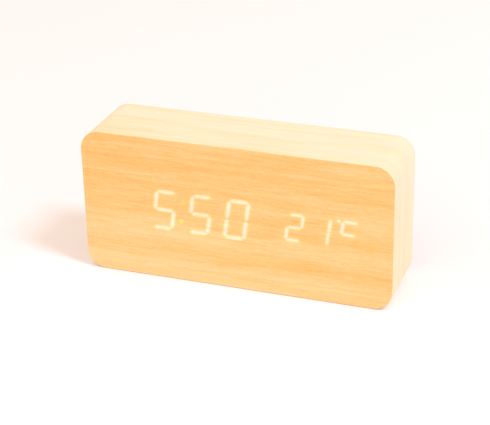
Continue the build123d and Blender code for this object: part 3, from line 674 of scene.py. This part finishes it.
dress(metal("nickel_spring", (0.74, 0.73, 0.70), 0.24, (2.0, 2.0, 2.0)), "battery_springs")


def black_screw():
    g = metal("black_screw", (0.055, 0.055, 0.060), 0.36, (3.0, 1.0, 3.0), (0.09, 0.085, 0.08), 0.6)
    return g


dress(black_screw(), "cover_screws")


def cell_sleeve():
    """Plain AAA cell: printed sleeve with a band and pole signs, bare metal ends."""
    g = Mat("cell_sleeve", Specular_IOR_Level=0.5)
    v = g.z - ZC
    middle = g.step(abs(v + 2.0), 5.45, 5.5, 1.0, 0.0)
    t = (0.1 - g.x) * (1.0 - middle) + (g.x + 48.1) * middle
    axis = 9.0 * g.step(v, 3.4, 3.6) - 13.0 * g.step(v, -7.6, -7.4, 1.0, 0.0) - 2.0 * middle
    w = v - axis
    bare = g.high(g.step(t, 1.55, 1.62, 1.0, 0.0), g.step(t, 43.95, 44.05))
    band = g.step(t, 9.0, 9.1, 1.0, 0.0)
    thin = g.step(abs(t - 10.0), 0.22, 0.28, 1.0, 0.0) + g.step(abs(t - 40.2), 0.22, 0.28, 1.0, 0.0)
    arm, bar = abs(t - 5.2), abs(w)
    plus = g.low(g.high(arm - 1.25, bar - 0.3), g.high(bar - 1.25, arm - 0.3))
    minus = g.high(abs(t - 42.0) - 0.3, bar - 1.2)
    sign = inside(g, g.low(plus, minus), 0.04) * g.step(g.y, 10.15, 10.3)
    n = g.even(0.5, 2, 0.5)
    far = g.noise(g.x * 0.1, g.y * 0.5, v * 0.5, 2)
    sleeve = g.mix(far, (0.030, 0.055, 0.085), (0.045, 0.075, 0.11))
    sleeve = g.mix(band, sleeve, (0.50, 0.51, 0.50))
    sleeve = g.mix(thin, sleeve, (0.66, 0.66, 0.64))
    dark_sign = g.mix(band, (0.72, 0.72, 0.70), (0.03, 0.05, 0.08))
    sleeve = g.mix(sign, sleeve, dark_sign)
    end = g.mix(g.step(n, 0.4, 0.7), (0.74, 0.73, 0.70), (0.62, 0.60, 0.56))
    g.put("Base_Color", g.mix(bare, sleeve, end))
    g.put("Metallic", bare)
    g.put("Roughness", 0.30 + (n - 0.5) * 0.16 + bare * 0.04)
    g.bump(n * 0.4 + far * 0.3, 0.008, 0.6)
    return g


dress(cell_sleeve(), "aaa_cells")
dress(split("lamp_body", (0.80, 0.79, 0.74), (0.78, 0.62, 0.30), lambda g: g.step(g.y, -9.82, -9.78), (0.4, 0.3)), "led_chips")


# ------------------------------------------------------------------ small pieces that the CAD leaves plain
def turned(bm, cx, cz, profile, sides=14):
    """Adds a solid turned about a level axis through (cx, cz); profile is (radius, y) from one end to the other, in mm."""
    rings = []
    for r, y in profile:
        if r <= 0:
            rings.append([bm.verts.new((cx * 0.001, y * 0.001, (ZC + cz) * 0.001))])
        else:
            rings.append(
                [
                    bm.verts.new(
                        (
                            (cx + r * math.cos(2 * math.pi * k / sides)) * 0.001,
                            y * 0.001,
                            (ZC + cz + r * math.sin(2 * math.pi * k / sides)) * 0.001,
                        )
                    )
                    for k in range(sides)
                ]
            )
    for a, b in zip(rings, rings[1:]):
        for k in range(sides):
            p = [a[k % len(a)], a[(k + 1) % len(a)], b[(k + 1) % len(b)], b[k % len(b)]]
            face = []
            for q in p:
                if q not in face:
                    face.append(q)
            if len(face) > 2:
                bm.faces.new(face)


def piece(name, body, mat, build, smooth=True):
    me = bpy.data.meshes.new(name)
    bm = bmesh.new()
    build(bm)
    bmesh.ops.recalc_face_normals(bm, faces=bm.faces)
    bm.to_mesh(me)
    bm.free()
    o = bpy.data.objects.new(name, me)
    bpy.context.scene.collection.objects.link(o)
    dress(mat, o)
    for p in me.polygons:
        p.use_smooth = smooth
    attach(o, body)
    return o


def stroke_centres(key):
    x0, size, _ = FIGURES[key]
    hw, hh = size["hw"], size["hh"]
    z0 = Z_BIG if size is BIG else Z_SMALL
    return [
        (x0 + px + SLANT * pz, z0 + pz)
        for px, pz in ((0, hh), (hw, hh / 2), (hw, -hh / 2), (0, -hh), (-hw, -hh / 2), (-hw, hh / 2), (0, 0))
    ]


def phosphor():
    g = Mat("lamp_phosphor", Specular_IOR_Level=0.5, Roughness=0.3)
    n = g.even(0.15, 2, 0.5)
    g.put("Base_Color", g.mix(n, (0.80, 0.66, 0.10), (0.90, 0.78, 0.20)))
    near = None
    for key, (_, _, lit) in FIGURES.items():
        if lit:
            d = strokes(g, g.z - ZC, key)
            near = d if near is None else g.low(near, d)
    near = g.low(near, dots(g, g.z - ZC, COLON + [DEGREE], 0.7))
    on = g.step(near, 0.0, 0.1, 1.0, 0.0)
    g.put("Emission_Color", g.mix(on, (0.0, 0.0, 0.0), g.mix(n, (1.0, 0.90, 0.62), (1.0, 0.95, 0.72))))
    g.put("Emission_Strength", 3.0)
    g.bump(n, 0.004, 0.5)
    return g


def lamp_lenses(bm):
    for key in FIGURES:
        for cx, cz in stroke_centres(key):
            turned(bm, cx, cz, [(0, -10.38), (0.16, -10.37), (0.27, -10.345), (0.33, -10.31), (0.33, -10.29), (0, -10.29)], 12)
    for cx, cz in COLON + [DEGREE]:
        turned(bm, cx, cz, [(0, -10.38), (0.16, -10.37), (0.27, -10.345), (0.33, -10.31), (0.33, -10.29), (0, -10.29)], 12)


piece("lamp_lenses", "clock", phosphor(), lamp_lenses)


def solder_cones(bm):
    for cx, cz in LEGS:
        turned(
            bm, cx, cz,
            [(0, 6.15), (0.22, 6.18), (0.30, 6.30), (0.34, 6.62), (0.46, 6.95), (0.72, 7.25), (0.95, 7.39), (0.95, 7.41), (0, 7.41)],
            14,
        )


piece("control_board_solder", "clock", metal("solder", (0.72, 0.71, 0.69), 0.22, (2.0, 2.0, 2.0), (0.55, 0.53, 0.50)), solder_cones)


# ------------------------------------------------------------------ softened edges on the CAD pieces
def soften(name, width, segments=3, angle=30.0):
    o = nodes[name]
    weld = o.modifiers.new("weld", "WELD")
    weld.merge_threshold = 1e-6
    flat = o.modifiers.new("flat", "DECIMATE")
    flat.decimate_type = "DISSOLVE"
    flat.angle_limit = math.radians(0.8)
    bev = o.modifiers.new("edges", "BEVEL")
    bev.width = width * 0.001
    bev.segments = segments
    bev.limit_method = "ANGLE"
    bev.angle_limit = math.radians(angle)
    bev.harden_normals = False
    bev.miter_outer = "MITER_ARC"
    norm = o.modifiers.new("normals", "WEIGHTED_NORMAL")
    norm.keep_sharp = False


for name, width in {
    "front_veneer": 0.16,
    "wrap_veneer": 0.10,
    "rear_veneer": 0.25,
    "back_cover": 0.18,
    "battery_door": 0.15,
    "foot_pads": 0.06,
    "dc_jack": 0.12,
    "set_button": 0.08,
    "up_button": 0.08,
    "down_button": 0.08,
    "cover_screws": 0.05,
}.items():
    soften(name, width)


# ------------------------------------------------------------------ floor, light and camera
def plane(name, size, z):
    me = bpy.data.meshes.new(name)
    h = size / 2
    me.from_pydata([(-h, -h, z), (h, -h, z), (h, h, z), (-h, h, z)], [], [(0, 1, 2, 3)])
    o = bpy.data.objects.new(name, me)
    bpy.context.scene.collection.objects.link(o)
    return o


floor = plane("floor", 12.0, -0.00005)
pale = Mat("pale_floor", Roughness=0.75, Specular_IOR_Level=0.1)
pale.put("Base_Color", pale.mix(pale.noise(pale.x * 0.004, pale.y * 0.004, 0.0), (0.93, 0.925, 0.92), (0.95, 0.945, 0.94)))
dress(pale, floor)

world = bpy.data.worlds.new("studio")
bpy.context.scene.world = world
world.use_nodes = True
sky = world.node_tree.nodes["Background"]
sky.inputs["Color"].default_value = (0.945, 0.785, 0.688, 1.0)
sky.inputs["Strength"].default_value = 1.05

key = bpy.data.lights.new("key", "AREA")
key.shape = "ELLIPSE"
key.size = 0.385
key.size_y = 0.63
key.energy = 16.8
key.color = (0.95, 0.79, 1.0)
lamp = bpy.data.objects.new("key", key)
bpy.context.scene.collection.objects.link(lamp)
toward = Vector((0.5255, -0.1913, 0.829)).normalized()
lamp.location = Vector((0, 0, 0.03)) + toward * 2.0
lamp.rotation_euler = toward.to_track_quat("Z", "Y").to_euler()

# a soft pool of light on the floor before the clock
pool = bpy.data.lights.new("pool", "AREA")
pool.shape = "RECTANGLE"
pool.size = 0.20
pool.size_y = 0.05
pool.spread = math.radians(20.0)
pool.energy = 0.036
pool.color = (0.62, 0.58, 1.0)
spot = bpy.data.objects.new("pool", pool)
bpy.context.scene.collection.objects.link(spot)
spot.location = (0.005, -0.17, 0.50)
spot.rotation_euler = (spot.location - Vector((0.005, -0.085, 0.0))).to_track_quat("Z", "Y").to_euler()

cam = bpy.data.cameras.new("camera")
cam.lens = 109.85
cam.sensor_width = 36.0
cam.sensor_fit = "HORIZONTAL"
cam.clip_start = 0.01
right = Vector((0.94161, 0.33614, -0.01928)).normalized()
back = Vector((0.31042, -0.84454, 0.43633)).normalized()
right = (right - back * right.dot(back)).normalized()
up = back.cross(right)
eye = bpy.data.objects.new("camera", cam)
bpy.context.scene.collection.objects.link(eye)
eye.matrix_world = Matrix(
    (
        (right.x, up.x, back.x, 0.21633),
        (right.y, up.y, back.y, -0.59211),
        (right.z, up.z, back.z, 0.33623),
        (0, 0, 0, 1),
    )
)
bpy.context.scene.camera = eye
bpy.context.scene.view_settings.view_transform = "Standard"
bpy.context.scene.view_settings.look = "None"
